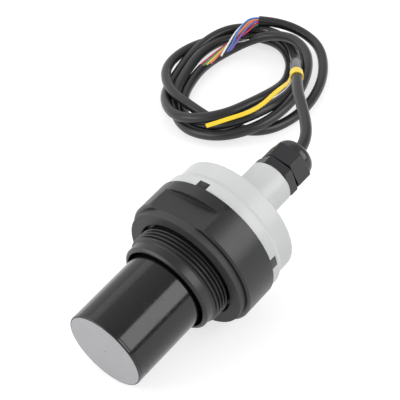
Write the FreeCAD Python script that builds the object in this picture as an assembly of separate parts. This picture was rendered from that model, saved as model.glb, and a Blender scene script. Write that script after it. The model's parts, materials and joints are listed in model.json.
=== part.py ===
import FreeCAD, Part
import math
import os

from FreeCAD import Vector

# Ultrasonic level sensor with a two inch process thread, lying on a floor with its cable beside it.
# All sizes are in millimetres. Each piece is modelled about its own axis: z runs from the sensing
# face towards the cable gland, y is the way the upper wrench flat faces, and z = 0 is the joint
# between the black body and the grey cap. lay_down() then tips the whole sensor onto the floor.

# Process connection, moulded in one with the body; every other diameter of the sensor follows its thread
THREAD_D = 59.614
THREAD_DEPTH = 1.557
THREAD_LENGTH = 15.0
THREAD_LEAD = 1.5
THREAD_RELIEF = 4.9
PILOT_LENGTH = 6.0
PILOT_CHAMFER = 1.2
SPIGOT_WALL = 2.35
SPIGOT_BORE_DEPTH = 18.0
BODY_STEP = 0.9
BODY_LENGTH = 21.0
BODY_CHAMFER = 1.0
FLATS_DEPTH = 4.7
FLATS_LENGTH = 14.0
BODY_SHELF_WIDTH = 5.4
BODY_FLOOR_DEPTH = 10.0
BODY_COLLAR_LENGTH = 4.5
BODY_COLLAR_WALL = 2.6
TAB_COUNT = 4
TAB_WIDTH = 6.9
TAB_LENGTH = 4.7
TAB_DEPTH = 3.2
TAB_CLEARANCE = 0.1

# Flat gasket that seals the thread's shoulder
GASKET_MARGIN = 2.5
GASKET_GAP = 1.193
GASKET_THICKNESS = 4.3
GASKET_EDGE = 0.4

# Barrel with the transducer
BARREL_GAP = 1.9
BARREL_REACH = 69.5
BARREL_WALL = 2.4
BARREL_EDGE = 0.7
BARREL_LINE_OFFSET = 1.6
BARREL_LINE_SIZE = 0.3
BARREL_FLANGE_RISE = 2.6
BARREL_FLANGE_THICKNESS = 2.0
BARREL_FIT = 0.15
FACE_RIM = 0.85
FACE_THICKNESS = 2.0
FACE_FIT = 0.05
FACE_DIMPLE_R = 0.6
FACE_DIMPLE_DEPTH = 0.2
PIEZO_MARGIN = 4.6
PIEZO_THICKNESS = 5.0
BACKING_LENGTH = 16.5
POTTING_LENGTH = 18.0
RETAINER_THICKNESS = 2.0
RETAINER_WIDTH = 4.6
PROBE_D = 3.6
PROBE_LENGTH = 9.0
PROBE_GAP = 0.55
LEAD_D = 1.0
LEAD_SPACING = 7.0
INNER_FIT = 0.1

# Rubber rings
BARREL_RING_SECTION = 1.8
BARREL_RING_OFFSET = 8.0
CAP_RING_SECTION = 1.2
GLAND_RING_SECTION = 1.6
RING_FIT = 0.05

# Cap, moulded in one with the neck
CAP_KEY_WALL = 0.35
CAP_RING_LENGTH = 6.4
CAP_STEP = 1.9
CAP_SHOULDER_LENGTH = 2.7
CAP_LENGTH = 20.7
CAP_EDGE = 1.2
CAP_WALL = 3.0
CAP_FIT = 0.15
NECK_D = 27.2
NECK_LENGTH = 30.1
NECK_BEVEL = 0.8
NECK_BORE_D = 15.0

# Cable gland
GLAND_THREAD_D = 20.0
GLAND_THREAD_LENGTH = 10.0
GLAND_THREAD_ROOM = 1.0
GLAND_THREAD_FIT = 0.1
GLAND_HEX_ACROSS = 24.5
GLAND_FLANGE_LENGTH = 5.9
GLAND_GAP = 0.8
GLAND_BORE_D = 8.0
GLAND_CUP_D = 13.2
GLAND_SLEEVE_LENGTH = 8.0
GLAND_FINGER_COUNT = 8
GLAND_FINGER_LENGTH = 4.0
GLAND_FINGER_SLOT = 1.0
GLAND_FINGER_TAPER = 1.0
NUT_HEX_LENGTH = 10.7
NUT_BAND_D = 24.2
NUT_BAND_LENGTH = 2.2
NUT_DOME_LENGTH = 5.4
NUT_MOUTH_D = 9.0
NUT_LIP = 1.6
HEX_CORNER_CUT = 0.6
SEAL_LENGTH = 10.0
NUT_ANGLE = 44.2
FLANGE_ANGLE = 52.1

# Electronics inside the cap
BOARD_GAP = 0.5
BOARD_THICKNESS = 1.6
BOARD_HEIGHT = 4.0
SPACER_D = 4.6
SPACER_COUNT = 4
SPACER_ANGLE = 45.0
SCREW_D = 2.5
SCREW_HEAD_D = 4.4
SCREW_HEAD_HEIGHT = 1.6
SCREW_DEPTH = 4.0
TRANSFORMER_SIZE = (16.0, 14.0, 9.0)
TRANSFORMER_PLACE = (-12.0, 10.0)
CAPACITOR_D = 8.0
CAPACITOR_HEIGHT = 9.0
CAPACITOR_COUNT = 3
CAPACITOR_PITCH = 9.5
CAPACITOR_PLACE = (13.0, 13.0)
CHIP_SIZE = (10.0, 10.0, 1.5)
CHIP_PLACE = (15.0, -6.0)
TERMINAL_SIZE = (26.0, 8.0, 5.5)
TERMINAL_PLACE = (-4.0, -16.0)

# Cable
CABLE_D = 6.8
CORE_D = 1.3
CORE_NAMES = ("red", "green", "yellow", "orange", "white", "black", "blue", "violet")
CORE_PITCH = 1.4
CORE_ROWS = 2
JACKET_STANDOFF = 0.3
INNER_BEND_RISE = 3.6
INNER_BEND_STEP = 1.8
CABLE_HELD = 3.2
CABLE_STRAIGHT = 7.2

# The free stretch of the cable after it has left the gland straight, to the top of its coil
CABLE_ROUTE = (
    (-1.1, 85.1, 58.4),
    (-3.5, 92.1, 59.2),
    (-7.1, 98.6, 59.8),
    (-11.9, 104.7, 60.3),
    (-18.8, 111.9, 60.8),
    (-27.9, 120.6, 61.1),
    (-39.9, 131.9, 60.8),
    (-53.3, 147.9, 58.9),
    (-69.6, 166.4, 53.0),
    (-86.3, 186.5, 43.1),
    (-103.2, 205.2, 31.1),
    (-119.4, 223.8, 18.2),
    (-128.5, 234.5, 10.5),
)

# Loose oval coil on the floor, and the last stretch of the jacket that lies on top of it
COIL_CENTRE = (-140.0, 193.0)
COIL_OUTER = (79.0, 59.0)
COIL_INNER = (48.0, 23.0)
COIL_SWING = 30.0
COIL_LAYERS = 2
COIL_EDGE = 3.0
END_ROUTE = (
    (-124.0, 259.6, 8.0),
    (-137.5, 260.6, 11.8),
    (-151.5, 255.6, 15.6),
    (-166.0, 244.2, 17.0),
)

# Bare cores, in a flat bundle from the cut jacket across the coil; each ends a little before the next
CORE_STRAIGHT = 4.5
CORE_ROUTE = (
    (-171.2, 234.0, 17.4),
    (-168.0, 222.0, 17.0),
    (-162.5, 204.0, 16.0),
    (-159.5, 181.5, 14.9),
)
CORE_SPREAD = 0.12
CORE_STAGGER = 2.4
DRAIN_D = 0.7
DRAIN_ROUTE = (
    (-170.0, 234.0, 14.2),
    (-165.5, 226.0, 14.3),
    (-157.0, 221.0, 14.6),
)

# Marker strap: a band round the cable and a flat tail that hangs down onto the coil
MARKER_RUN = 9
MARKER_SHARE = 0.4
MARKER_WIDTH = 11.0
MARKER_THICKNESS = 0.8
MARKER_FIT = 0.15
TAIL_WIDTH = 4.2
TAIL_ROUTE = (
    (-61.0, 151.5, 51.0),
    (-67.6, 152.3, 44.0),
    (-74.5, 152.0, 37.0),
    (-81.5, 147.0, 28.0),
    (-88.3, 141.5, 22.0),
    (-97.5, 132.5, 18.6),
    (-105.4, 119.1, 17.5),
)

# How far a cutter, or the foot of a joined shape, runs past the face that it starts from
OVERCUT = 1.0

# The share of a run that a bend at its end takes up
BEND_SHARE = 0.45

THREAD_R = THREAD_D / 2
PILOT_R = THREAD_R - THREAD_DEPTH
SPIGOT_BORE_R = PILOT_R - SPIGOT_WALL
BARREL_R = SPIGOT_BORE_R - BARREL_GAP
BARREL_BORE_R = BARREL_R - BARREL_WALL
BARREL_FLANGE_R = BARREL_R + BARREL_FLANGE_RISE
FACE_R = BARREL_R - FACE_RIM
PIEZO_R = BARREL_BORE_R - PIEZO_MARGIN
PROBE_OFFSET = BARREL_BORE_R - PROBE_D / 2 - PROBE_GAP
BODY_BORE_R = BARREL_FLANGE_R + BODY_SHELF_WIDTH
COLLAR_R = BODY_BORE_R + BODY_COLLAR_WALL
CAP_BORE_R = COLLAR_R + CAP_FIT
KEY_R = CAP_BORE_R + CAP_RING_SECTION + CAP_KEY_WALL
CAP_RING_R = KEY_R + TAB_CLEARANCE + TAB_DEPTH
CAP_UPPER_R = CAP_RING_R - CAP_STEP
BODY_R = CAP_RING_R + BODY_STEP
GASKET_R = BODY_R - GASKET_MARGIN
BOARD_R = BODY_BORE_R - BOARD_GAP
BODY_FRONT = -BODY_LENGTH
THREAD_FRONT = BODY_FRONT - THREAD_LENGTH
SPIGOT_END = THREAD_FRONT - PILOT_LENGTH
BARREL_TIP = BODY_FRONT - BARREL_REACH
BODY_FLOOR = -BODY_FLOOR_DEPTH
RETAINER_FRONT = BODY_FLOOR - RETAINER_THICKNESS
FLANGE_FRONT = RETAINER_FRONT - BARREL_FLANGE_THICKNESS
SEAT_FRONT = SPIGOT_END + SPIGOT_BORE_DEPTH
FACE_BACK = BARREL_TIP + FACE_THICKNESS
PIEZO_BACK = FACE_BACK + PIEZO_THICKNESS
BACKING_BACK = FACE_BACK + BACKING_LENGTH
CAP_CEILING = CAP_LENGTH - CAP_WALL
NECK_END = CAP_LENGTH + NECK_LENGTH
FLANGE_END = NECK_END + GLAND_FLANGE_LENGTH
NUT_FRONT = FLANGE_END + GLAND_GAP
NUT_HEX_END = NUT_FRONT + NUT_HEX_LENGTH
NUT_BAND_END = NUT_HEX_END + NUT_BAND_LENGTH
NUT_END = NUT_BAND_END + NUT_DOME_LENGTH
SLEEVE_END = FLANGE_END + GLAND_SLEEVE_LENGTH
FINGER_END = SLEEVE_END + GLAND_FINGER_LENGTH
BOARD_BACK = BOARD_HEIGHT + BOARD_THICKNESS
JACKET_CUT = CAP_LENGTH + JACKET_STANDOFF
CABLE_R = CABLE_D / 2
CABLE_START = FLANGE_END + SEAL_LENGTH - CABLE_HELD
COIL_HEIGHT = COIL_LAYERS * CABLE_D


def lying_angle():
    """The tip's rim and the gasket's front rim both touch the floor."""
    along = BODY_FRONT - GASKET_THICKNESS + GASKET_EDGE - BARREL_TIP - BARREL_EDGE
    across = GASKET_R - GASKET_EDGE - BARREL_R + BARREL_EDGE
    return math.atan2(across, along) + math.asin((GASKET_EDGE - BARREL_EDGE) / math.hypot(along, across))


TILT = lying_angle()
AXIS = Vector(0, math.cos(TILT), math.sin(TILT))
UPWARD = Vector(0, -math.sin(TILT), math.cos(TILT))
JOINT_HEIGHT = (
    BARREL_EDGE + (BARREL_R - BARREL_EDGE) * math.cos(TILT) - (BARREL_TIP + BARREL_EDGE) * math.sin(TILT)
)


def turned(profile):
    """Revolve a closed outline of (radius, z) points about the sensor's axis."""
    points = [Vector(radius, 0, z) for radius, z in profile]
    face = Part.Face(Part.makePolygon(points + points[:1]))
    return face.revolve(Vector(0, 0, 0), Vector(0, 0, 1), 360)


def rod(radius, start, end, x=0.0, y=0.0):
    return Part.makeCylinder(radius, end - start, Vector(x, y, start))


def tube(outer, inner, start, end):
    return rod(outer, start, end).cut(rod(inner, start - OVERCUT, end + OVERCUT))


def ring(inner, section, z):
    """A rubber ring of round section, lying against its inner wall."""
    return Part.makeTorus(inner + section / 2, section / 2, Vector(0, 0, z))


def block(size, place, z):
    return Part.makeBox(size[0], size[1], size[2], Vector(place[0] - size[0] / 2, place[1] - size[1] / 2, z))


def hexagon(across, start, end, angle):
    """A hexagon bar with its corners turned down; the angle leads from the upper flat to a corner."""
    corner = across / math.sqrt(3)
    points = []
    for index in range(7):
        turn = math.radians(90 + angle + 60 * index)
        points.append(Vector(corner * math.cos(turn), corner * math.sin(turn), start))
    bar = Part.Face(Part.makePolygon(points)).extrude(Vector(0, 0, end - start))
    rim = corner - HEX_CORNER_CUT
    rounded = turned([(0, start), (rim, start), (corner, start + HEX_CORNER_CUT),
                      (corner, end - HEX_CORNER_CUT), (rim, end), (0, end)])
    return bar.common(rounded)


def edges_at(shape, z, radius):
    """The full circles of a radius that lie at a height."""
    found = []
    for edge in shape.Edges:
        curve = edge.Curve
        if isinstance(curve, Part.Circle) and abs(curve.Radius - radius) < 1e-4 and abs(curve.Center.z - z) < 1e-4:
            found.append(edge)
    return found


def tipped(shape, place):
    turn = FreeCAD.Rotation(Vector(-1, 0, 0), UPWARD, AXIS, "ZXY")
    shape = shape.copy()
    shape.Placement = FreeCAD.Placement(place, turn).multiply(shape.Placement)
    return shape


def joint_place():
    """Where the joint's centre lies, with the sensor's two ends at equal distances from the origin."""
    front = tipped(sensor_barrel(), Vector(0, 0, 0)).optimalBoundingBox(False).YMin
    back = tipped(gland_nut(), Vector(0, 0, 0)).optimalBoundingBox(False).YMax
    return Vector(0, -(front + back) / 2, JOINT_HEIGHT)


def lay_down(shape):
    """Tip a piece from the sensor's own axis to where it lies on the floor."""
    return tipped(shape, JOINT_PLACE)


def on_axis(z):
    """The point of the sensor's axis at z, in the lying frame."""
    return JOINT_PLACE + AXIS * z


def sector(width, inner, outer, start, end, angle):
    """A straight-sided block between two radii, turned to an angle from the upper flat."""
    shape = Part.makeBox(width, outer, end - start, Vector(-width / 2, 0, start))
    shape = shape.common(tube(outer, inner, start, end))
    shape.rotate(Vector(0, 0, 0), Vector(0, 0, 1), angle)
    return shape


def tab_angles():
    return [360.0 * index / TAB_COUNT for index in range(TAB_COUNT)]


def threaded_body():
    """Body, collar, thread with its relief, and keyed tabs, moulded in one."""
    relief_start = BODY_FRONT - THREAD_RELIEF
    outer = turned([
        (0, SPIGOT_END), (PILOT_R - PILOT_CHAMFER, SPIGOT_END), (PILOT_R, SPIGOT_END + PILOT_CHAMFER),
        (PILOT_R, THREAD_FRONT), (THREAD_R, THREAD_FRONT + THREAD_LEAD), (THREAD_R, relief_start),
        (PILOT_R, relief_start), (PILOT_R, BODY_FRONT),
        (BODY_R - BODY_CHAMFER, BODY_FRONT), (BODY_R, BODY_FRONT + BODY_CHAMFER), (BODY_R, 0),
        (COLLAR_R, 0), (COLLAR_R, BODY_COLLAR_LENGTH), (0, BODY_COLLAR_LENGTH)])
    for side in (1, -1):
        flat = Part.makeBox(2 * BODY_R, BODY_R, FLATS_LENGTH, Vector(-BODY_R, 0, BODY_FRONT))
        flat.translate(Vector(0, BODY_R - FLATS_DEPTH, 0))
        flat.rotate(Vector(0, 0, 0), Vector(0, 0, 1), 90 - 90 * side)
        outer = outer.cut(flat)
    seat_r = BARREL_R + BARREL_FIT
    pocket_r = BARREL_FLANGE_R + BARREL_FIT
    bore_start = SPIGOT_END - OVERCUT
    bore_end = BODY_COLLAR_LENGTH + OVERCUT
    bore = turned([
        (0, bore_start), (SPIGOT_BORE_R, bore_start), (SPIGOT_BORE_R, SEAT_FRONT),
        (seat_r, SEAT_FRONT), (seat_r, FLANGE_FRONT), (pocket_r, FLANGE_FRONT), (pocket_r, BODY_FLOOR),
        (BODY_BORE_R, BODY_FLOOR), (BODY_BORE_R, bore_end), (0, bore_end)])
    body = outer.cut(bore)
    body = body.cut(ring_groove(BARREL_R, BARREL_RING_SECTION, FLANGE_FRONT - BARREL_RING_OFFSET / 2))
    for angle in tab_angles():
        tab = sector(TAB_WIDTH, CAP_RING_R - TAB_DEPTH, CAP_RING_R, -OVERCUT, TAB_LENGTH, angle)
        body = body.fuse(tab)
    for x, y in spacer_places():
        body = body.cut(rod(SCREW_D / 2, BODY_FLOOR - SCREW_DEPTH, BODY_FLOOR + OVERCUT, x, y))
    return body.removeSplitter()


def ring_groove(wall, section, z):
    """A square groove that holds a rubber ring round a wall."""
    half = section / 2 + RING_FIT
    return tube(wall + section + RING_FIT, wall - section / 2, z - half, z + half)


def process_gasket():
    shape = tube(GASKET_R, THREAD_R + GASKET_GAP, BODY_FRONT - GASKET_THICKNESS, BODY_FRONT)
    rims = edges_at(shape, BODY_FRONT - GASKET_THICKNESS, GASKET_R)
    return shape.makeFillet(GASKET_EDGE, rims)


def sensor_barrel():
    """Smooth tube with the transducer at its tip and a flange that hangs in the body."""
    line = BARREL_TIP + BARREL_LINE_OFFSET
    shape = turned([
        (FACE_R + FACE_FIT, BARREL_TIP), (BARREL_R, BARREL_TIP),
        (BARREL_R, line), (BARREL_R - BARREL_LINE_SIZE, line + BARREL_LINE_SIZE / 2),
        (BARREL_R, line + BARREL_LINE_SIZE), (BARREL_R, FLANGE_FRONT),
        (BARREL_FLANGE_R, FLANGE_FRONT), (BARREL_FLANGE_R, RETAINER_FRONT),
        (BARREL_BORE_R, RETAINER_FRONT), (BARREL_BORE_R, FACE_BACK), (FACE_R + FACE_FIT, FACE_BACK)])
    return shape.makeFillet(BARREL_EDGE, edges_at(shape, BARREL_TIP, BARREL_R))


def transducer_face():
    """Grey matching disc, flush in the barrel's mouth, with a moulding dimple at its centre."""
    disc = rod(FACE_R, BARREL_TIP, FACE_BACK)
    return disc.cut(rod(FACE_DIMPLE_R, BARREL_TIP - OVERCUT, BARREL_TIP + FACE_DIMPLE_DEPTH))


def piezo_disc():
    return rod(PIEZO_R, FACE_BACK, PIEZO_BACK)


def lead_places():
    return [(-LEAD_SPACING / 2, 0.0), (LEAD_SPACING / 2, 0.0)]


def probe_place():
    return (0.0, PROBE_OFFSET)


def backing_cup():
    """Soft cup that damps the back and sides of the piezo disc."""
    cup = rod(BARREL_BORE_R - INNER_FIT, FACE_BACK, BACKING_BACK)
    cup = cup.cut(rod(PIEZO_R + INNER_FIT, FACE_BACK - OVERCUT, PIEZO_BACK))
    for x, y in lead_places():
        cup = cup.cut(rod(LEAD_D / 2 + INNER_FIT, PIEZO_BACK - OVERCUT, BACKING_BACK + OVERCUT, x, y))
    x, y = probe_place()
    return cup.cut(rod(PROBE_D / 2 + INNER_FIT, FACE_BACK - OVERCUT, BACKING_BACK + OVERCUT, x, y))


def temperature_probe():
    x, y = probe_place()
    bead = rod(PROBE_D / 2, FACE_BACK, FACE_BACK + PROBE_LENGTH, x, y)
    return bead.fuse(rod(LEAD_D / 2, FACE_BACK + PROBE_LENGTH, BOARD_HEIGHT, x, y))


def transducer_leads():
    return Part.makeCompound([rod(LEAD_D / 2, PIEZO_BACK, BOARD_HEIGHT, x, y) for x, y in lead_places()])


def potting_plug():
    """Cast resin that closes the back of the barrel round the wires."""
    plug = rod(BARREL_BORE_R - INNER_FIT, RETAINER_FRONT - POTTING_LENGTH, RETAINER_FRONT)
    for x, y in lead_places() + [probe_place()]:
        plug = plug.cut(rod(LEAD_D / 2 + INNER_FIT, BARREL_TIP, BOARD_HEIGHT, x, y))
    return plug


def retaining_ring():
    """Screwed ring that holds the barrel's flange down in the body."""
    shape = tube(BARREL_FLANGE_R, BARREL_FLANGE_R - RETAINER_WIDTH, RETAINER_FRONT, BODY_FLOOR)
    for side in (0, 90):
        notch = Part.makeBox(2 * BARREL_FLANGE_R, RETAINER_THICKNESS, RETAINER_THICKNESS,
                             Vector(-BARREL_FLANGE_R, -RETAINER_THICKNESS / 2, BODY_FLOOR - RETAINER_THICKNESS / 2))
        notch.rotate(Vector(0, 0, 0), Vector(0, 0, 1), side)
        shape = shape.cut(notch)
    return shape


def barrel_oring():
    return ring(BARREL_R + RING_FIT / 2, BARREL_RING_SECTION, FLANGE_FRONT - BARREL_RING_OFFSET / 2)


def cap_oring():
    """Ring in the corner between the collar and the body's rear face, inside the tabs."""
    return ring(COLLAR_R + RING_FIT, CAP_RING_SECTION, CAP_RING_SECTION / 2 + RING_FIT)


def housing_cap():
    """Grey cap: keyed lower ring, rounded shoulder, upper ring, flat back and long neck."""
    shoulder_end = CAP_RING_LENGTH + CAP_SHOULDER_LENGTH
    neck_r = NECK_D / 2
    corners = [(0, 0), (CAP_RING_R, 0), (CAP_RING_R, CAP_RING_LENGTH),
               (CAP_UPPER_R, shoulder_end), (CAP_UPPER_R, CAP_LENGTH),
               (neck_r, CAP_LENGTH), (neck_r, NECK_END - NECK_BEVEL), (neck_r - NECK_BEVEL, NECK_END), (0, NECK_END)]
    middle = Vector((CAP_RING_R + 2 * CAP_UPPER_R) / 3, 0, CAP_RING_LENGTH + CAP_SHOULDER_LENGTH * 2 / 3)
    points = [Vector(radius, 0, z) for radius, z in corners]
    bulge = (points[2] - points[3]).normalize().cross(Vector(0, 1, 0)) * CAP_STEP / 5
    edges = []
    for index, point in enumerate(points):
        following = points[(index + 1) % len(points)]
        if index == 2:
            edges.append(Part.Arc(point, middle + bulge, following).toShape())
        else:
            edges.append(Part.LineSegment(point, following).toShape())
    cap = Part.Face(Part.Wire(edges)).revolve(Vector(0, 0, 0), Vector(0, 0, 1), 360)
    cap = cap.makeFillet(CAP_EDGE, edges_at(cap, CAP_LENGTH, CAP_UPPER_R))
    thread_start = NECK_END - GLAND_THREAD_LENGTH - GLAND_THREAD_ROOM
    mouth = NECK_END + OVERCUT
    hollow = turned([
        (0, -OVERCUT), (CAP_BORE_R, -OVERCUT), (CAP_BORE_R, CAP_CEILING), (NECK_BORE_D / 2, CAP_CEILING),
        (NECK_BORE_D / 2, thread_start), (GLAND_THREAD_D / 2, thread_start), (GLAND_THREAD_D / 2, mouth),
        (0, mouth)])
    cap = cap.cut(hollow)
    cap = cap.cut(rod(CAP_BORE_R + CAP_RING_SECTION, -OVERCUT, CAP_RING_SECTION + 2 * RING_FIT))
    cap = cap.cut(rod(GLAND_THREAD_D / 2 + GLAND_RING_SECTION + RING_FIT, NECK_END - GLAND_RING_SECTION, mouth))
    for angle in tab_angles():
        width = TAB_WIDTH + 2 * TAB_CLEARANCE
        notch = sector(width, KEY_R, BODY_R + OVERCUT, -OVERCUT, TAB_LENGTH + TAB_CLEARANCE, angle)
        cap = cap.cut(notch)
    return cap


def spacer_places():
    """Four posts on the body's inner shelf."""
    shelf = (BODY_BORE_R + BARREL_FLANGE_R + BARREL_FIT) / 2
    places = []
    for index in range(SPACER_COUNT):
        angle = math.radians(SPACER_ANGLE + 360.0 * index / SPACER_COUNT)
        places.append((shelf * math.cos(angle), shelf * math.sin(angle)))
    return places


def board_spacers():
    posts = []
    for x, y in spacer_places():
        post = rod(SPACER_D / 2, BODY_FLOOR, BOARD_HEIGHT, x, y)
        posts.append(post.cut(rod(SCREW_D / 2 + INNER_FIT, BODY_FLOOR - OVERCUT, BOARD_HEIGHT + OVERCUT, x, y)))
    return Part.makeCompound(posts)


def board_screws():
    screws = []
    for x, y in spacer_places():
        shank = rod(SCREW_D / 2 - RING_FIT, BODY_FLOOR - SCREW_DEPTH + INNER_FIT, BOARD_BACK, x, y)
        screws.append(shank.fuse(rod(SCREW_HEAD_D / 2, BOARD_BACK, BOARD_BACK + SCREW_HEAD_HEIGHT, x, y)))
    return Part.makeCompound(screws)


def main_board():
    """Round circuit board on the posts."""
    board = rod(BOARD_R, BOARD_HEIGHT, BOARD_BACK)
    for x, y in spacer_places():
        board = board.cut(rod(SCREW_D / 2 + INNER_FIT, BOARD_HEIGHT - OVERCUT, BOARD_BACK + OVERCUT, x, y))
    return board


def pulse_transformer():
    """Bobbin with its wound middle standing back from the flanges."""
    width, depth, height = TRANSFORMER_SIZE
    lower = block((width, depth, height / 5), TRANSFORMER_PLACE, BOARD_BACK)
    winding = block((width * 0.8, depth * 0.8, height * 3 / 5), TRANSFORMER_PLACE, BOARD_BACK + height / 5)
    upper = block((width, depth, height / 5), TRANSFORMER_PLACE, BOARD_BACK + height * 4 / 5)
    return lower.fuse(winding).fuse(upper)


def storage_capacitors():
    cans = []
    for index in range(CAPACITOR_COUNT):
        x = CAPACITOR_PLACE[0] - (CAPACITOR_COUNT - 1 - index) * CAPACITOR_PITCH / 2
        y = CAPACITOR_PLACE[1] - index % 2 * CAPACITOR_PITCH
        cans.append(rod(CAPACITOR_D / 2, BOARD_BACK, BOARD_BACK + CAPACITOR_HEIGHT, x, y))
    return Part.makeCompound(cans)


def control_chip():
    return block(CHIP_SIZE, CHIP_PLACE, BOARD_BACK)


def terminal_places():
    """One clamp a core, side by side on the terminal block."""
    count = len(CORE_NAMES)
    pitch = TERMINAL_SIZE[0] / count
    return [(TERMINAL_PLACE[0] + (index - (count - 1) / 2) * pitch, TERMINAL_PLACE[1]) for index in range(count)]


def terminal_block():
    top = BOARD_BACK + TERMINAL_SIZE[2]
    shape = block(TERMINAL_SIZE, TERMINAL_PLACE, BOARD_BACK)
    for x, y in terminal_places():
        shape = shape.cut(rod(CORE_D / 2 + INNER_FIT, top - TERMINAL_SIZE[2] / 2, top + OVERCUT, x, y))
    return shape


def bundle_offsets():
    """The cores in the cable's cross-section, two rows deep, so that no two of them touch."""
    per_row = len(CORE_NAMES) / CORE_ROWS
    offsets = []
    for index in range(len(CORE_NAMES)):
        across = (index // CORE_ROWS - (per_row - 1) / 2) * CORE_PITCH
        offsets.append((across, (index % CORE_ROWS - (CORE_ROWS - 1) / 2) * CORE_PITCH))
    return offsets


def gland_body():
    """Threaded shank, hexagon flange and upper sleeve that ends in clamping fingers."""
    shank_r = GLAND_THREAD_D / 2 - GLAND_THREAD_FIT
    start = NECK_END - GLAND_THREAD_LENGTH
    finger_root_r = shank_r - GLAND_FINGER_TAPER
    shape = turned([
        (0, start), (shank_r, start), (shank_r, SLEEVE_END), (finger_root_r, SLEEVE_END),
        (GLAND_CUP_D / 2 + GLAND_FINGER_TAPER / 2, FINGER_END), (0, FINGER_END)])
    shape = shape.fuse(hexagon(GLAND_HEX_ACROSS, NECK_END, FLANGE_END, FLANGE_ANGLE))
    bore_start = start - OVERCUT
    bore_end = FINGER_END + OVERCUT
    shape = shape.cut(turned([
        (0, bore_start), (GLAND_BORE_D / 2, bore_start), (GLAND_BORE_D / 2, FLANGE_END),
        (GLAND_CUP_D / 2, FLANGE_END), (GLAND_CUP_D / 2, bore_end), (0, bore_end)]))
    for index in range(GLAND_FINGER_COUNT):
        slot = Part.makeBox(GLAND_FINGER_SLOT, GLAND_THREAD_D, GLAND_FINGER_LENGTH + OVERCUT,
                            Vector(-GLAND_FINGER_SLOT / 2, 0, SLEEVE_END))
        slot.rotate(Vector(0, 0, 0), Vector(0, 0, 1), 360.0 * index / GLAND_FINGER_COUNT)
        shape = shape.cut(slot)
    return shape


def gland_oring():
    """Ring in the mouth of the neck, under the gland's flange."""
    z = NECK_END - GLAND_RING_SECTION / 2
    return ring(GLAND_THREAD_D / 2, GLAND_RING_SECTION, z)


def gland_seal():
    """Rubber sleeve that the fingers press onto the cable."""
    return tube(GLAND_CUP_D / 2 - INNER_FIT, CABLE_R + RING_FIT, FLANGE_END, FLANGE_END + SEAL_LENGTH)


def gland_nut():
    """Hexagon nut with a smooth band and a rounded dome."""
    mouth_r = NUT_MOUTH_D / 2
    band_r = NUT_BAND_D / 2
    lip_r = mouth_r + NUT_LIP
    top = NUT_END - NUT_DOME_LENGTH * 0.3
    crown = Part.Arc(Vector(band_r, 0, NUT_BAND_END),
                     Vector(lip_r + (band_r - lip_r) * math.sin(math.pi / 4), 0,
                            NUT_BAND_END + NUT_DOME_LENGTH * math.sin(math.pi / 4)),
                     Vector(lip_r, 0, NUT_END))
    mouth = Part.Arc(Vector(lip_r, 0, NUT_END),
                     Vector(mouth_r + NUT_LIP * (1 - math.sin(math.pi / 4)), 0,
                            top + (NUT_END - top) * math.sin(math.pi / 4)),
                     Vector(mouth_r, 0, top))
    corners = [Vector(mouth_r, 0, top), Vector(0, 0, top), Vector(0, 0, NUT_FRONT),
               Vector(band_r, 0, NUT_FRONT), Vector(band_r, 0, NUT_BAND_END)]
    edges = [crown.toShape(), mouth.toShape()]
    edges += [Part.LineSegment(a, b).toShape() for a, b in zip(corners, corners[1:])]
    shape = Part.Face(Part.Wire(edges)).revolve(Vector(0, 0, 0), Vector(0, 0, 1), 360)
    shape = shape.fuse(hexagon(GLAND_HEX_ACROSS, NUT_FRONT, NUT_HEX_END, NUT_ANGLE))
    thread_r = GLAND_THREAD_D / 2 + GLAND_THREAD_FIT
    cone_end = FINGER_END + GLAND_GAP
    bore_start = NUT_FRONT - OVERCUT
    bore_end = NUT_END + OVERCUT
    shape = shape.cut(turned([
        (0, bore_start), (thread_r, bore_start), (thread_r, SLEEVE_END), (mouth_r + NUT_LIP * 2, cone_end),
        (mouth_r, cone_end), (mouth_r, bore_end), (0, bore_end)]))
    return shape


def inner_cable():
    """The held end of the cable's jacket, from inside the cap into the gland's mouth."""
    return rod(CABLE_R, JACKET_CUT, CABLE_START)


def inner_cores():
    """Cores inside the cap: straight down, across to the terminals at one height a row, and into the clamps."""
    cores = []
    clamp_top = BOARD_BACK + TERMINAL_SIZE[2]
    for index, ((x, y), (clamp_x, clamp_y)) in enumerate(zip(bundle_offsets(), terminal_places())):
        across = clamp_top + INNER_BEND_RISE - index % CORE_ROWS * INNER_BEND_STEP
        points = [Vector(x, y, JACKET_CUT), Vector(x, y, across), Vector(clamp_x, clamp_y, across),
                  Vector(clamp_x, clamp_y, clamp_top - CORE_D)]
        cores.append(wire_tube(points, CORE_D / 2 - INNER_FIT))
    return Part.makeCompound(cores)


def wire_tube(points, radius, report=None):
    """A round tube along straight runs that are joined by tangent arcs, as large as the runs allow."""
    edges = []
    start = points[0]
    tightest = None
    for before, corner, after in zip(points, points[1:], points[2:]):
        entry = (before - corner).normalize()
        leave = (after - corner).normalize()
        reach = BEND_SHARE * min((before - corner).Length, (after - corner).Length)
        half_turn = (math.pi - entry.getAngle(leave)) / 2
        bend = reach / math.tan(half_turn)
        tightest = bend if tightest is None else min(tightest, bend)
        middle = corner + (entry + leave).normalize() * (bend / math.cos(half_turn) - bend)
        edges.append(Part.LineSegment(start, corner + entry * reach).toShape())
        edges.append(Part.Arc(corner + entry * reach, middle, corner + leave * reach).toShape())
        start = corner + leave * reach
    edges.append(Part.LineSegment(start, points[-1]).toShape())
    path = Part.Wire(edges)
    section = Part.Wire(Part.Circle(points[0], points[1] - points[0], radius).toShape())
    solid = path.makePipeShell([section], True, False)
    if report:
        expected = math.pi * radius ** 2 * path.Length
        print(f"{report}: length {path.Length:.1f}, tightest bend {tightest:.1f}, "
              f"volume ratio {solid.Volume / expected:.4f}")
    return solid


def cable_points():
    start = on_axis(CABLE_START)
    return [start, start + AXIS * CABLE_STRAIGHT] + [Vector(*point) for point in CABLE_ROUTE]


def signal_cable():
    return wire_tube(cable_points(), CABLE_R, "signal_cable")


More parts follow.
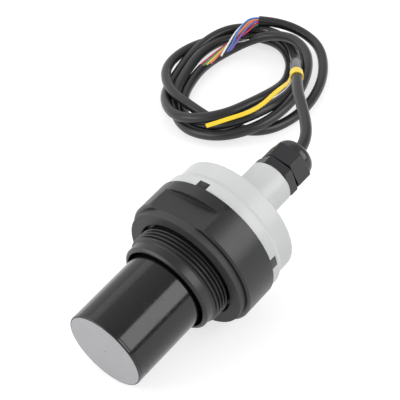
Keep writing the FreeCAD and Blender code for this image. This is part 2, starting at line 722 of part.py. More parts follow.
def cable_end():
    """The last stretch of the jacket, which ends in a square cut."""
    return wire_tube([Vector(*point) for point in END_ROUTE], CABLE_R, "cable_end")


def oval(half_length, half_width, start, height):
    """An oval column on the floor, swung to the coil's lie."""
    curve = Part.Ellipse(Vector(0, 0, start), half_length, half_width)
    column = Part.Face(Part.Wire(curve.toShape())).extrude(Vector(0, 0, height))
    column.rotate(Vector(0, 0, 0), Vector(0, 0, 1), 90 + COIL_SWING)
    column.translate(Vector(COIL_CENTRE[0], COIL_CENTRE[1], 0))
    return column


def cable_coil():
    """The outer shape of the loose turns."""
    shape = oval(COIL_OUTER[0], COIL_OUTER[1], 0, COIL_HEIGHT)
    shape = shape.cut(oval(COIL_INNER[0], COIL_INNER[1], -OVERCUT, COIL_HEIGHT + 2 * OVERCUT))
    rims = [edge for edge in shape.Edges if edge.BoundBox.ZMin > COIL_HEIGHT - 1e-3]
    return shape.makeFillet(COIL_EDGE, rims)


def jacket_cut():
    """Centre of the jacket's cut end, the way that the end points, and the way up across the cut."""
    before, end = [Vector(*point) for point in END_ROUTE[-2:]]
    outward = (end - before).normalize()
    side = outward.cross(Vector(0, 0, 1)).normalize()
    return end, outward, side.cross(outward)


def core_tube(index):
    """One bare core: it keeps its place in the spreading bundle, and has its own length."""
    across, height = bundle_offsets()[index]
    cut, outward, up = jacket_cut()
    route = [cut, cut + outward * CORE_STRAIGHT] + [Vector(*point) for point in CORE_ROUTE]
    directions = [(b - a).normalize() for a, b in zip(route, route[1:])]
    route[-1] = route[-1] - directions[-1] * (CORE_STAGGER * index)
    points = []
    for step, place in enumerate(route):
        arriving = directions[max(step - 1, 0)]
        leaving = directions[min(step, len(directions) - 1)]
        side = (arriving + leaving).cross(Vector(0, 0, 1)).normalize()
        spread = 1 + CORE_SPREAD * max(step - 1, 0)
        shift = across * spread / math.cos(arriving.getAngle(leaving) / 2)
        points.append(place + side * shift + up * height)
    return wire_tube(points, CORE_D / 2, "core_" + CORE_NAMES[index])


def drain_wire():
    """Tinned wire of the cable's screen, which comes out under the cores."""
    cut, outward, up = jacket_cut()
    start = cut - up * (CABLE_R - DRAIN_D)
    points = [start, start + outward * CORE_STRAIGHT] + [Vector(*point) for point in DRAIN_ROUTE]
    return wire_tube(points, DRAIN_D / 2, "drain_wire")


def cable_marker():
    """Plastic strap in one piece: a band round the cable, and the flat tail that comes off its side."""
    points = cable_points()
    before = points[MARKER_RUN]
    after = points[MARKER_RUN + 1]
    along = (after - before).normalize()
    middle = before + (after - before) * MARKER_SHARE
    start = middle - along * (MARKER_WIDTH / 2)
    inner = CABLE_R + MARKER_FIT
    band = Part.makeCylinder(inner + MARKER_THICKNESS, MARKER_WIDTH, start, along)
    hole = Part.makeCylinder(inner, MARKER_WIDTH, start, along)
    outward = Vector(*TAIL_ROUTE[0]) - middle
    outward = (outward - along * outward.dot(along)).normalize()
    root = middle + outward * (inner + MARKER_THICKNESS / 2)
    tail = flat_strip([root] + [Vector(*point) for point in TAIL_ROUTE], TAIL_WIDTH, MARKER_THICKNESS)
    return band.fuse(tail).cut(hole)


def flat_strip(points, width, thickness):
    """A strip with a flat section, ruled between its rounded edges' points."""
    sections = []
    directions = [(b - a).normalize() for a, b in zip(points, points[1:])]
    for index, point in enumerate(points):
        along = directions[max(index - 1, 0)] + directions[min(index, len(directions) - 1)]
        side = along.cross(Vector(0, 0, 1)).normalize() * (width / 2)
        up = side.cross(along).normalize() * (thickness / 2)
        corners = [point - side - up, point + side - up, point + side + up, point - side + up]
        sections.append(Part.makePolygon(corners + corners[:1]))
    return Part.makeLoft(sections, True, True)


def main():
    os.makedirs("parts", exist_ok=True)
    on_the_axis = (
        threaded_body, process_gasket, sensor_barrel, transducer_face, piezo_disc, backing_cup,
        temperature_probe, transducer_leads, potting_plug, retaining_ring, barrel_oring, cap_oring,
        housing_cap, main_board, board_spacers, board_screws, pulse_transformer, storage_capacitors,
        control_chip, terminal_block, gland_body, gland_oring, gland_seal, gland_nut, inner_cable,
        inner_cores)
    for make in on_the_axis:
        save(make.__name__, lay_down(make()))
    for make in (signal_cable, cable_coil, cable_end, cable_marker, drain_wire):
        save(make.__name__, make())
    for index, name in enumerate(CORE_NAMES):
        save("core_" + name, core_tube(index))


def save(node, shape):
    if not shape.isValid():
        print(node, "is not valid")
    box = shape.optimalBoundingBox(False)
    print(f"{node}: {len(shape.Solids)} solid, volume {shape.Volume:.1f}, "
          f"x {box.XMin:.2f} {box.XMax:.2f}, y {box.YMin:.2f} {box.YMax:.2f}, z {box.ZMin:.2f} {box.ZMax:.2f}")
    shape.exportStep(f"parts/{node}.step")


JOINT_PLACE = joint_place()
main()
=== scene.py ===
import json
import math

import bmesh
import bpy
from mathutils import Matrix, Vector


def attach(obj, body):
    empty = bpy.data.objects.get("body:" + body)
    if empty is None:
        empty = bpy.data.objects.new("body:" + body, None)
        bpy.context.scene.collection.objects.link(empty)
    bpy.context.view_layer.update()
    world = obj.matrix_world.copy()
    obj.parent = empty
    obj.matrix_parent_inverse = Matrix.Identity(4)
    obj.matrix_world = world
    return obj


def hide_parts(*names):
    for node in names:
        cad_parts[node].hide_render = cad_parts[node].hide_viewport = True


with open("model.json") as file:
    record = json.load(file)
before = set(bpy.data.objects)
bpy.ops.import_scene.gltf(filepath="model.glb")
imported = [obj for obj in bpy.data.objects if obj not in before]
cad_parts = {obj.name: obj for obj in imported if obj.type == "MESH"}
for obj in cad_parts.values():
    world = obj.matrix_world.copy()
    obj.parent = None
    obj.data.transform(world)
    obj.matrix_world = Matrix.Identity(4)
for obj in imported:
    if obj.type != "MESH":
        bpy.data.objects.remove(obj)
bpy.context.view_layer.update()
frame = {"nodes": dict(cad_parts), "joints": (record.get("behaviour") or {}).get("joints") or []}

# Threaded body
# The black body carries the two inch process thread, two wrench flats and four keys. It is one
# injection moulding in glass-filled polypropylene, so its skin is dull with a fine grain in it.
nodes = frame["nodes"]
GLAND_JOINT_Z = 0.064
gland_joint = frame["joints"][0]
axis = Vector(gland_joint["axis"]).normalized()
upward = Vector((1, 0, 0)).cross(axis)
joint_centre = Vector(gland_joint["pos_m"]) - axis * GLAND_JOINT_Z
lying = Matrix.Translation(joint_centre) @ Matrix(((-1, 0, 0), upward, axis)).transposed().to_4x4()


def on_axis(z):
    """The point of the sensor's own axis at z, in metres behind the joint of body and cap."""
    return joint_centre + axis * z


def linear(hex_colour):
    """The linear colour of an sRGB hex value."""
    channels = [int(hex_colour[place:place + 2], 16) / 255 for place in (1, 3, 5)]
    return [c / 12.92 if c <= 0.04045 else ((c + 0.055) / 1.055) ** 2.4 for c in channels] + [1.0]


def add_node(tree, kind, links=None, **settings):
    """A new node; links gives an input either its value or the output that feeds it."""
    made = tree.nodes.new(kind)
    for name, value in settings.items():
        setattr(made, name, value)
    for name, value in (links or {}).items():
        if isinstance(value, bpy.types.NodeSocket):
            tree.links.new(value, made.inputs[name])
        else:
            made.inputs[name].default_value = value
    return made


PLASTIC_IOR = 1.5


def moulded(name, shades, patch, roughness, grain, relief, edge=0.0, metallic=0.0):
    """A surface that drifts between two close shades in patches, with a fine grain in relief and gloss.

    patch, grain, relief and edge, the rounding of edges, are in metres. roughness is a least and a most.
    """
    material = bpy.data.materials.new(name)
    material.use_nodes = True
    tree = material.node_tree
    tree.nodes.clear()
    place = add_node(tree, "ShaderNodeTexCoord", name="place")
    drift = add_node(tree, "ShaderNodeTexNoise", {
        "Vector": place.outputs["Object"], "Scale": 1 / patch, "Detail": 4.0,
        "Roughness": 0.6}, name="drift")
    fine = add_node(tree, "ShaderNodeTexNoise", {
        "Vector": place.outputs["Object"], "Scale": 1 / grain, "Detail": 2.0})
    colour = add_node(tree, "ShaderNodeMix", {"Factor": drift.outputs["Fac"]}, data_type="RGBA")
    colour.inputs["A"].default_value = linear(shades[0])
    colour.inputs["B"].default_value = linear(shades[1])
    gloss = add_node(tree, "ShaderNodeMapRange", {
        "Value": fine.outputs["Fac"], "From Min": 0.3, "From Max": 0.7,
        "To Min": roughness[0], "To Max": roughness[1]}, name="gloss")
    bump = add_node(tree, "ShaderNodeBump", {
        "Height": fine.outputs["Fac"], "Distance": relief, "Strength": 1.0})
    if edge:
        rounding = add_node(tree, "ShaderNodeBevel", {"Radius": edge}, samples=6)
        tree.links.new(rounding.outputs["Normal"], bump.inputs["Normal"])
    shader = add_node(tree, "ShaderNodeBsdfPrincipled", {
        "Base Color": colour.outputs["Result"], "Roughness": gloss.outputs["Result"],
        "Normal": bump.outputs["Normal"], "Metallic": metallic, "IOR": PLASTIC_IOR}, name="shader")
    add_node(tree, "ShaderNodeOutputMaterial", {"Surface": shader.outputs["BSDF"]})
    return material


def dress(node, material):
    """A CAD node keeps its shape and takes a finish of its own."""
    nodes[node].material_slots[0].material = material


polypropylene = moulded("glass_filled_polypropylene", ("#161618", "#1d1d1f"), 0.012, (0.3, 0.42), 0.0005,
                        0.00003, edge=0.0005)

THREAD_CREST_R = 0.029807
THREAD_ROOT_R = 0.02825
THREAD_PITCH = 0.002309
THREAD_FRONT = -0.036
THREAD_LEAD = 0.0015
THREAD_STOP = -0.0259
THREAD_BACK = -0.021
THREAD_ROOT_SHARE = 0.16
THREAD_CREST_SHARE = 0.16
THREAD_RUN_OUT = 0.2
POINTS_ROUND = 193
POINTS_ALONG = 131

# The thread's profile is rolled into a sleeve: a grid of turn by height, whose points go out from the
# root to the crest and back once a pitch. Both ends come down to the root, where the body takes over.
# Root and crest are flat over a share of the rise, and the thread runs out over a share of its pitch.
thread_tree = bpy.data.node_groups.new("pipe_thread", "GeometryNodeTree")
thread_tree.interface.new_socket("Geometry", in_out="OUTPUT", socket_type="NodeSocketGeometry")
thread_sizes = {
    "Root Radius": THREAD_ROOT_R,
    "Depth": THREAD_CREST_R - THREAD_ROOT_R,
    "Pitch": THREAD_PITCH,
    "Front": THREAD_FRONT,
    "Lead": THREAD_LEAD,
    "Stop": THREAD_STOP,
    "Back": THREAD_BACK,
}
for name in thread_sizes:
    thread_tree.interface.new_socket(name, in_out="INPUT", socket_type="NodeSocketFloat")
thread_tree.interface.new_socket("Finish", in_out="INPUT", socket_type="NodeSocketMaterial")
given = add_node(thread_tree, "NodeGroupInput").outputs


def reckon(operation, first, second=0.0):
    """The result of one step of arithmetic in the thread's tree."""
    step = add_node(thread_tree, "ShaderNodeMath", {0: first, 1: second}, operation=operation)
    return step.outputs["Value"]


sheet = add_node(thread_tree, "GeometryNodeMeshGrid", {
    "Size X": math.tau, "Size Y": reckon("SUBTRACT", given["Back"], given["Front"]),
    "Vertices X": POINTS_ROUND, "Vertices Y": POINTS_ALONG})
spot = add_node(thread_tree, "ShaderNodeSeparateXYZ", {
    "Vector": add_node(thread_tree, "GeometryNodeInputPosition").outputs["Position"]})
midway = reckon("MULTIPLY", reckon("ADD", given["Front"], given["Back"]), 0.5)
height = reckon("ADD", spot.outputs["Y"], midway)
turn = reckon("DIVIDE", spot.outputs["X"], math.tau)
phase = reckon("FRACT", reckon("SUBTRACT", reckon("DIVIDE", height, given["Pitch"]), turn))
rise = reckon("ABSOLUTE", reckon("SUBTRACT", reckon("MULTIPLY", phase, 2.0), 1.0))
flank = add_node(thread_tree, "ShaderNodeMapRange", {
    "Value": rise, "From Min": THREAD_ROOT_SHARE, "From Max": 1 - THREAD_CREST_SHARE},
    interpolation_type="SMOOTHSTEP").outputs["Result"]
lead = reckon("DIVIDE", reckon("SUBTRACT", height, given["Front"]), given["Lead"])
fading = reckon("MULTIPLY", given["Pitch"], THREAD_RUN_OUT)
run_out = reckon("DIVIDE", reckon("SUBTRACT", given["Stop"], height), fading)
limit = reckon("MINIMUM", reckon("MINIMUM", lead, run_out), 1.0)
share = reckon("MAXIMUM", reckon("MINIMUM", flank, limit), 0.0)
radius = reckon("ADD", given["Root Radius"], reckon("MULTIPLY", share, given["Depth"]))
angle = spot.outputs["X"]
rolled = add_node(thread_tree, "ShaderNodeCombineXYZ", {
    "X": reckon("MULTIPLY", radius, reckon("COSINE", angle)),
    "Y": reckon("MULTIPLY", radius, reckon("SINE", angle)), "Z": height})
sleeve = add_node(thread_tree, "GeometryNodeSetPosition", {
    "Geometry": sheet.outputs["Mesh"], "Position": rolled.outputs["Vector"]})
closed = add_node(thread_tree, "GeometryNodeMergeByDistance", {
    "Geometry": sleeve.outputs["Geometry"], "Distance": 0.000001})
smooth = add_node(thread_tree, "GeometryNodeSetShadeSmooth", {"Geometry": closed.outputs["Geometry"]})
real = add_node(thread_tree, "GeometryNodeRealizeInstances", {"Geometry": smooth.outputs["Geometry"]})
painted = add_node(thread_tree, "GeometryNodeSetMaterial", {
    "Geometry": real.outputs["Geometry"], "Material": given["Finish"]})
add_node(thread_tree, "NodeGroupOutput", {"Geometry": painted.outputs["Geometry"]})


def grown(name, tree, sizes, finish):
    """The plain mesh that a tree makes from its named sizes and a finish."""
    blank = bpy.data.objects.new(name, bpy.data.meshes.new(name))
    bpy.context.scene.collection.objects.link(blank)
    modifier = blank.modifiers.new("made", "NODES")
    modifier.node_group = tree
    sockets = tree.interface.items_tree
    for size, value in sizes.items():
        modifier[sockets[size].identifier] = value
    modifier[sockets["Finish"].identifier] = finish
    mesh = bpy.data.meshes.new_from_object(blank.evaluated_get(bpy.context.evaluated_depsgraph_get()))
    bpy.data.objects.remove(blank)
    return mesh


def shaped(name, mesh, body="sensor"):
    """An object at the origin that shows a mesh and moves with a body."""
    piece = bpy.data.objects.new(name, mesh)
    bpy.context.scene.collection.objects.link(piece)
    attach(piece, body)
    return piece


thread_mesh = grown("process_thread", thread_tree, thread_sizes, polypropylene)
thread_mesh.transform(lying)

# The solid's plain crest and its relief come off, so that the rolled sleeve takes their place.
NEAR = 0.0001
body_shape = bmesh.new()
body_shape.from_mesh(nodes["threaded_body"].data)
bmesh.ops.remove_doubles(body_shape, verts=body_shape.verts, dist=0.000002)
to_sensor = lying.inverted()
old_thread = []
for face in body_shape.faces:
    corners = [to_sensor @ vertex.co for vertex in face.verts]
    outside = all(THREAD_ROOT_R - NEAR < math.hypot(c.x, c.y) < THREAD_CREST_R + NEAR for c in corners)
    between = all(THREAD_FRONT - NEAR < c.z < THREAD_BACK + NEAR for c in corners)
    if outside and between:
        old_thread.append(face)
bmesh.ops.delete(body_shape, geom=old_thread, context="FACES")
body_mesh = bpy.data.meshes.new("threaded_body_moulding")
body_shape.to_mesh(body_mesh)
body_shape.free()
body_mesh.materials.append(polypropylene)
body_mesh.shade_smooth()
body_mesh.set_sharp_from_angle(angle=math.radians(20))
joined = bmesh.new()
joined.from_mesh(body_mesh)
joined.from_mesh(thread_mesh)
joined.to_mesh(body_mesh)
joined.free()
body_piece = shaped("threaded_body_moulding", body_mesh)
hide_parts("threaded_body")

# Process gasket
# A flat ring of EPDM rubber lies against the body's front face and seals the tank's socket. It is cut
# from moulded sheet, so it is dull and dark grey, and a little paler in patches where the rubber blooms.
gasket_rubber = moulded("epdm_rubber", ("#2b2b2c", "#373637"), 0.008, (0.5, 0.66), 0.0004, 0.00003,
                        edge=0.0005)
dress("process_gasket", gasket_rubber)

# Sensor barrel
# The tube that holds the transducer is turned from black PVC bar and polished, so it mirrors the lamps
# in one long band. Handling has left hairline scratches in patches, which are a little duller.
SCRATCH_SCALE = 90.0
SCRATCH_HALF_WIDTH = 0.012
SCRATCH_DULLNESS = 0.5
polished_pvc = moulded("polished_pvc", ("#0a0a0d", "#0f0f12"), 0.02, (0.1, 0.18), 0.003, 0.000004,
                       edge=0.0003)
tree = polished_pvc.node_tree
strokes = add_node(tree, "ShaderNodeTexNoise", {
    "Vector": tree.nodes["place"].outputs["Object"], "Scale": SCRATCH_SCALE, "Detail": 1.0,
    "Distortion": 1.6})
hairline = add_node(tree, "ShaderNodeValToRGB", {"Fac": strokes.outputs["Fac"]})
hairline.color_ramp.elements[0].position = 0.5 - SCRATCH_HALF_WIDTH
hairline.color_ramp.elements[1].position = 0.5
hairline.color_ramp.elements[1].color = (1, 1, 1, 1)
falling = hairline.color_ramp.elements.new(0.5 + SCRATCH_HALF_WIDTH)
falling.color = (0, 0, 0, 1)
worn = add_node(tree, "ShaderNodeMapRange", {
    "Value": tree.nodes["drift"].outputs["Fac"], "From Min": 0.46, "From Max": 0.6})
scratch = add_node(tree, "ShaderNodeMath", {
    0: hairline.outputs["Color"], 1: worn.outputs["Result"]}, operation="MULTIPLY")
rubbed = add_node(tree, "ShaderNodeMath", {
    0: scratch.outputs["Value"], 1: SCRATCH_DULLNESS, 2: tree.nodes["gloss"].outputs["Result"]},
    operation="MULTIPLY_ADD")
tree.links.new(rubbed.outputs["Value"], tree.nodes["shader"].inputs["Roughness"])
dress("sensor_barrel", polished_pvc)

# Transducer face
# The disc in the barrel's mouth is the matching layer, cast in grey filled epoxy and ground flat. It is
# satin, with a faint cloud in the filler, and has a small dimple where the mould was filled.
cast_epoxy = moulded("filled_epoxy", ("#a8a8ab", "#b1b1b4"), 0.01, (0.42, 0.52), 0.0006, 0.00001)
dress("transducer_face", cast_epoxy)

# Parts sealed in the barrel
# The fired piezo disc, its damping cup, the temperature probe and the wires are potted in black resin,
# and a nylon ring holds the barrel's flange in the body. Nitrile rings seal the barrel, the cap and the
# gland. All of them are finished, though nothing shows them.
fired_ceramic = moulded("fired_ceramic", ("#b9ad95", "#c6bba4"), 0.003, (0.5, 0.65), 0.0003, 0.00001)
dress("piezo_disc", fired_ceramic)
damping_rubber = moulded("damping_rubber", ("#2a2a2b", "#343435"), 0.004, (0.7, 0.85), 0.0005, 0.00003)
dress("backing_cup", damping_rubber)
bright_steel = moulded("bright_steel", ("#a9a9a8", "#b8b8b7"), 0.004, (0.22, 0.34), 0.0006, 0.000004,
                       metallic=1.0)
dress("temperature_probe", bright_steel)
lead_insulation = moulded("lead_insulation", ("#a35b2c", "#b0653a"), 0.004, (0.4, 0.5), 0.0006, 0.000005)
dress("transducer_leads", lead_insulation)
potting_resin = moulded("potting_resin", ("#151517", "#1c1c1f"), 0.006, (0.12, 0.3), 0.001, 0.00001)
dress("potting_plug", potting_resin)
filled_nylon = moulded("glass_filled_nylon", ("#242424", "#2e2e2e"), 0.005, (0.5, 0.62), 0.0004, 0.00003)
dress("retaining_ring", filled_nylon)
ring_rubber = moulded("nitrile_rubber", ("#19191a", "#212122"), 0.004, (0.5, 0.65), 0.0004, 0.00001)
for node in ("barrel_oring", "cap_oring", "gland_oring", "gland_seal"):
    dress(node, ring_rubber)

# Housing cap
# The light grey cap closes the body, with notches that take the body's four keys, and carries the long
# neck. It is one moulding in PVC, satin and even, whose rims and shoulder catch a thin bright line.
grey_pvc = moulded("light_grey_pvc", ("#c3c5c4", "#cacccb"), 0.015, (0.28, 0.38), 0.0007, 0.00001,
                   edge=0.0004)
dress("housing_cap", grey_pvc)

# Electronics in the cap
# The round board stands on four nylon posts in the body, with the pulse transformer, the storage
# capacitors, the chip and the terminal block on it. All of it is bought, and hidden by the cap.
solder_mask = moulded("solder_mask", ("#0c4d27", "#115a30"), 0.006, (0.25, 0.35), 0.0008, 0.000005)
dress("main_board", solder_mask)
natural_nylon = moulded("natural_nylon", ("#c9c5b8", "#d6d2c6"), 0.004, (0.4, 0.5), 0.0006, 0.000005)
dress("board_spacers", natural_nylon)
zinc_plate = moulded("zinc_plate", ("#9c9ea2", "#b2b3b4"), 0.003, (0.25, 0.4), 0.0004, 0.000005,
                     metallic=1.0)
dress("board_screws", zinc_plate)
enamelled_winding = moulded("enamelled_winding", ("#8a5a1b", "#a06c28"), 0.0008, (0.25, 0.4), 0.0003,
                            0.00005)
dress("pulse_transformer", enamelled_winding)
drawn_can = moulded("drawn_can", ("#b4b6ba", "#c3c4c7"), 0.004, (0.25, 0.35), 0.0005, 0.000004,
                    metallic=1.0)
dress("storage_capacitors", drawn_can)
chip_epoxy = moulded("transfer_moulded_epoxy", ("#1d1d1f", "#262628"), 0.002, (0.5, 0.65), 0.0003,
                     0.00001)
dress("control_chip", chip_epoxy)
green_nylon = moulded("flame_proof_nylon", ("#2a7a3c", "#338646"), 0.004, (0.35, 0.45), 0.0005, 0.00001)
dress("terminal_block", green_nylon)

# Cable gland
# The gland's body and its clamping nut are moulded in black polyamide, smooth and satin, with turned
# down hexagon corners. The nut ends in a rounded dome that shines in one soft patch.
polyamide = moulded("black_polyamide", ("#1e1e21", "#272729"), 0.008, (0.18, 0.26), 0.0008, 0.000003,
                    edge=0.0005)
for node in ("gland_body", "gland_nut"):
    dress(node, polyamide)

# Signal cable
# The flying lead has a soft PVC jacket 6.8 mm thick over eight cores and a screen. It leaves the gland
# straight, drops in one long bend and lies in four loose turns, laid under and over each other by hand,
# with the cut end of the jacket on top of them.
CABLE_D = 0.0068
CABLE_START = 0.0635
CABLE_STRAIGHT = 0.0072
# The free stretch down to the coil, in millimetres. Most of its points come from numerical fits to the
# photograph, rounded, and the rest were moved.
CABLE_ROUTE = (
    (-1.1, 85.1, 58.4),
    (-3.5, 92.1, 59.2),
    (-7.1, 98.6, 59.8),
    (-11.9, 104.7, 60.3),
    (-18.8, 111.9, 60.8),
    (-27.9, 120.6, 61.1),
    (-39.9, 131.9, 60.8),
    (-53.3, 147.9, 58.9),
    (-67.0, 163.0, 52.5),
    (-80.0, 179.0, 43.5),
    (-92.0, 194.5, 32.0),
    (-104.0, 209.5, 21.0),
    (-117.0, 223.0, 14.0),
    (-130.0, 237.0, 11.0),
)
COIL_CENTRE = Vector((-0.140, 0.193, 0.0))
COIL_HALF_LENGTH = 0.076
COIL_HALF_WIDTH = 0.056
COIL_SWING = math.radians(120)
COIL_START_DEG = -30
COIL_STEP_DEG = 30
COIL_FLOOR = 3.5
# How each turn lies, at six marks round the oval: how far out the cable runs, as a share of the oval's
# size, and how high its middle is, in millimetres. The last mark leads out of the coil. The marks come
# from a numerical fit to the turns in the photograph, rounded, and six of the 25 were moved.
COIL_TURNS = (
    ((0.76, 9.5), (0.78, 12.0), (0.82, 4.0), (1.06, 14.0), (0.80, 21.5), (0.58, 6.5)),
    ((0.72, 4.5), (0.70, 8.0), (0.66, 9.5), (1.02, 5.5), (1.03, 12.0), (0.86, 21.0)),
    ((0.61, 16.5), (0.53, 5.0), (0.56, 5.5), (0.91, 3.5), (0.96, 19.5), (0.71, 7.0)),
    ((0.82, 3.5), (0.83, 3.5), (0.95, 10.5), (0.81, 13.5), (0.98, 3.5), (1.01, 5.0)),
    ((1.07, 5.5),),
)
# The cut end of the jacket, in millimetres; its first two points come from the same fit.
END_ROUTE = ((-137.0, 260.0, 9.0), (-156.5, 254.0, 14.5), (-166.0, 244.2, 17.0))


def metres(points):
    """Points in the model's millimetres, in metres."""
    return [Vector(point) / 1000 for point in points]


def smooth_line(name, points):
    """One smooth open spline with these control points."""
    curve = bpy.data.curves.new(name, "CURVE")
    curve.dimensions = "3D"
    spline = curve.splines.new("NURBS")
    spline.points.add(len(points) - 1)
    for control, point in zip(spline.points, points):
        control.co = (*point, 1.0)
    spline.order_u = 3
    spline.use_endpoint_u = True
    curve.resolution_u = 10
    return curve


def round_cord(name, points, diameter, finish, sides):
    """A cord of round section along a smooth line; sides is how finely its section is drawn."""
    curve = smooth_line(name, points)
    curve.bevel_depth = diameter / 2
    curve.bevel_resolution = sides
    curve.use_fill_caps = True
    curve.materials.append(finish)
    return shaped(name, curve)


# Between two marks the cable runs through a point halfway, smoothed over the marks before and after
# them, and its middle stays at least COIL_FLOOR millimetres up.
coil_along = Vector((math.cos(COIL_SWING), math.sin(COIL_SWING), 0)) * COIL_HALF_LENGTH
coil_across = Vector((-math.sin(COIL_SWING), math.cos(COIL_SWING), 0)) * COIL_HALF_WIDTH
marks = [Vector(mark) for turn in COIL_TURNS for mark in turn]
coil_points = []
for place, mark in enumerate(marks[:-1]):
    after = marks[place + 1]
    beyond = marks[min(place + 2, len(marks) - 1)]
    halfway = (9 * (mark + after) - marks[max(place - 1, 0)] - beyond) / 16
    for reach, height in (mark, halfway):
        turn = math.radians(COIL_START_DEG + COIL_STEP_DEG * len(coil_points))
        middle = COIL_CENTRE + coil_along * reach * math.cos(turn) + coil_across * reach * math.sin(turn)
        coil_points.append(middle + Vector((0, 0, max(height, COIL_FLOOR) / 1000)))
cable_points = [on_axis(CABLE_START), on_axis(CABLE_START + CABLE_STRAIGHT)] + metres(CABLE_ROUTE)
cable_points += coil_points + metres(END_ROUTE)

soft_pvc = moulded("matte_soft_pvc", ("#19191b", "#212124"), 0.006, (0.28, 0.38), 0.0006, 0.00002)
dress("inner_cable", soft_pvc)
signal_cable = round_cord("signal_cable_jacket", cable_points, CABLE_D, soft_pvc, sides=7)
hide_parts("signal_cable", "cable_coil", "cable_end")

# Bare cores
# Where the jacket is stripped, eight cores in coloured PVC come out as they were twisted, four of them
# over the other four, and end in plain cuts at slightly different lengths on top of the coil.
CORE_D = 0.0013
CORE_STATIONS = (
    (-166.0, 244.2, 17.0),
    (-169.5, 241.4, 17.3),
    (-171.2, 234.0, 17.4),
    (-168.0, 222.0, 17.0),
    (-162.5, 204.0, 16.0),
    (-159.5, 181.5, 14.9),
)
# For each core: two shades, how much of the last run it covers, and its lane at each station as
# (across, up) in millimetres, across being positive towards the coil's outside.
CORE_LAYS = {
    "blue": (("#3a78c8", "#4785d4"), 0.33,
             ((0.4, 1.9), (0.6, 1.9), (-1.4, 2.2), (-1.9, 2.4), (-5.1, 2.2), (-8.8, 2.0))),
    "orange": (("#e07a60", "#e88a70"), 0.93,
               ((-1.0, 1.3), (-1.8, 1.3), (-3.3, 2.0), (-3.6, 2.2), (-1.8, 0.3), (-1.4, -0.6))),
    "yellow": (("#dfc04a", "#e8cc60"), 1.03,
               ((-0.2, 0.0), (-1.6, 0.0), (-4.0, 0.9), (-3.6, 0.9), (-0.4, 0.3), (0.0, -0.6))),
    "violet": (("#7654ae", "#8262ba"), 0.26,
               ((-1.4, 0.0), (-3.4, 0.4), (-6.4, 1.6), (-6.0, 2.2), (-6.6, 2.2), (-9.5, 2.0))),
    "red": (("#bb2448", "#c83358"), 1.1,
            ((-1.8, -0.6), (-5.0, -0.4), (-8.0, 0.9), (-7.7, 0.9), (2.3, 0.3), (3.5, -0.6))),
    "green": (("#289363", "#349f70"), 1.1,
              ((-1.4, -1.8), (-4.8, -1.8), (-7.6, -0.3), (-5.8, -0.2), (1.0, 0.0), (1.5, -0.6))),
    "white": (("#ececea", "#f4f4f2"), 0.59,
              ((1.6, 0.4), (1.2, 0.6), (-0.4, 0.8), (0.2, 1.1), (-1.9, 2.2), (-8.0, 2.0))),
    "black": (("#161618", "#1f1f21"), 0.53,
              ((0.8, -1.0), (0.2, -0.6), (-1.6, 0.2), (-1.2, 1.1), (-3.7, 2.0), (-8.0, 1.2))),
}
core_path = metres(CORE_STATIONS)
for name, (shades, share, lanes) in CORE_LAYS.items():
    points = []
    for step, (across, up) in enumerate(lanes):
        back = core_path[max(step - 1, 0)]
        ahead = core_path[min(step + 1, len(core_path) - 1)]
        side = (ahead - back).cross(Vector((0, 0, 1))).normalized()
        points.append(core_path[step] + side * across / 1000 + Vector((0, 0, up / 1000)))
    points[-1] = points[-2].lerp(points[-1], share)
    finish = moulded("core_pvc_" + name, shades, 0.004, (0.3, 0.42), 0.0008, 0.00001)
    core = round_cord("core_" + name + "_wire", points, CORE_D, finish, sides=3)
    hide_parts("core_" + name)
inside_pvc = moulded("core_pvc_inside", ("#d9d9d6", "#e2e2df"), 0.004, (0.35, 0.45), 0.0008, 0.00001)
dress("inner_cores", inside_pvc)

# Screen wire
# The screen is a lap of fine tinned copper strands. At the cut they are gathered into one loose wire
# under the cores, and two stray strands lie beside it.
tinned_copper = moulded("tinned_copper", ("#b5b1ab", "#cbc7c1"), 0.002, (0.25, 0.4), 0.0003, 0.000005,
                        metallic=1.0)
DRAIN_D = 0.0007
DRAIN_ROUTE = ((-166.3, 244.4, 14.0), (-169.6, 241.6, 14.3), (-170.0, 233.0, 14.6),
               (-164.5, 221.5, 15.5), (-158.0, 214.5, 17.0), (-151.5, 216.5, 19.5))
STRAY_ROUTES = (((-161.5, 212.0, 16.0), (-157.5, 212.5, 17.5), (-154.5, 216.0, 17.8)),
                ((-159.0, 236.0, 15.5), (-154.0, 232.5, 19.0), (-148.0, 232.0, 20.5)))
STRAY_D = 0.0005


def middle_line(points):
    """Close points along the middle of a cord with these control points."""
    line = bpy.data.objects.new("middle_line", smooth_line("middle_line", points))
    mesh = bpy.data.meshes.new_from_object(line)
    run = [vertex.co.copy() for vertex in mesh.vertices]
    bpy.data.objects.remove(line)
    bpy.data.meshes.remove(mesh)
    return run


def heading(line, place):
    """The direction in which a line of points runs at one of them."""
    return (line[min(place + 1, len(line) - 1)] - line[max(place - 1, 0)]).normalized()


def add_strap(shape, line, width, thickness, face):
    """A flat strap along a line; width and face say how broad it is and how it faces at a share of it."""
    rows = []
    for place, point in enumerate(line):
        share = place / (len(line) - 1)
        forward = heading(line, place)
        side = forward.cross(face(share)).normalized() * width(share) / 2
        lift = side.cross(forward).normalized() * thickness / 2
        corners = (side + lift, lift - side, -side - lift, side - lift)
        rows.append([shape.verts.new(point + corner) for corner in corners])
    for row, following in zip(rows, rows[1:]):
        for corner in range(4):
            after = (corner + 1) % 4
            shape.faces.new((row[corner], row[after], following[after], following[corner]))
    shape.faces.new(rows[0])
    shape.faces.new(rows[-1])


def closed_mesh(name, shape, finish):
    """The plain mesh of a finished shape, its faces outward and its edges crisp."""
    bmesh.ops.recalc_face_normals(shape, faces=shape.faces)
    mesh = bpy.data.meshes.new(name)
    shape.to_mesh(mesh)
    shape.free()
    mesh.materials.append(finish)
    mesh.shade_smooth()
    mesh.set_sharp_from_angle(angle=math.radians(35))
    return mesh


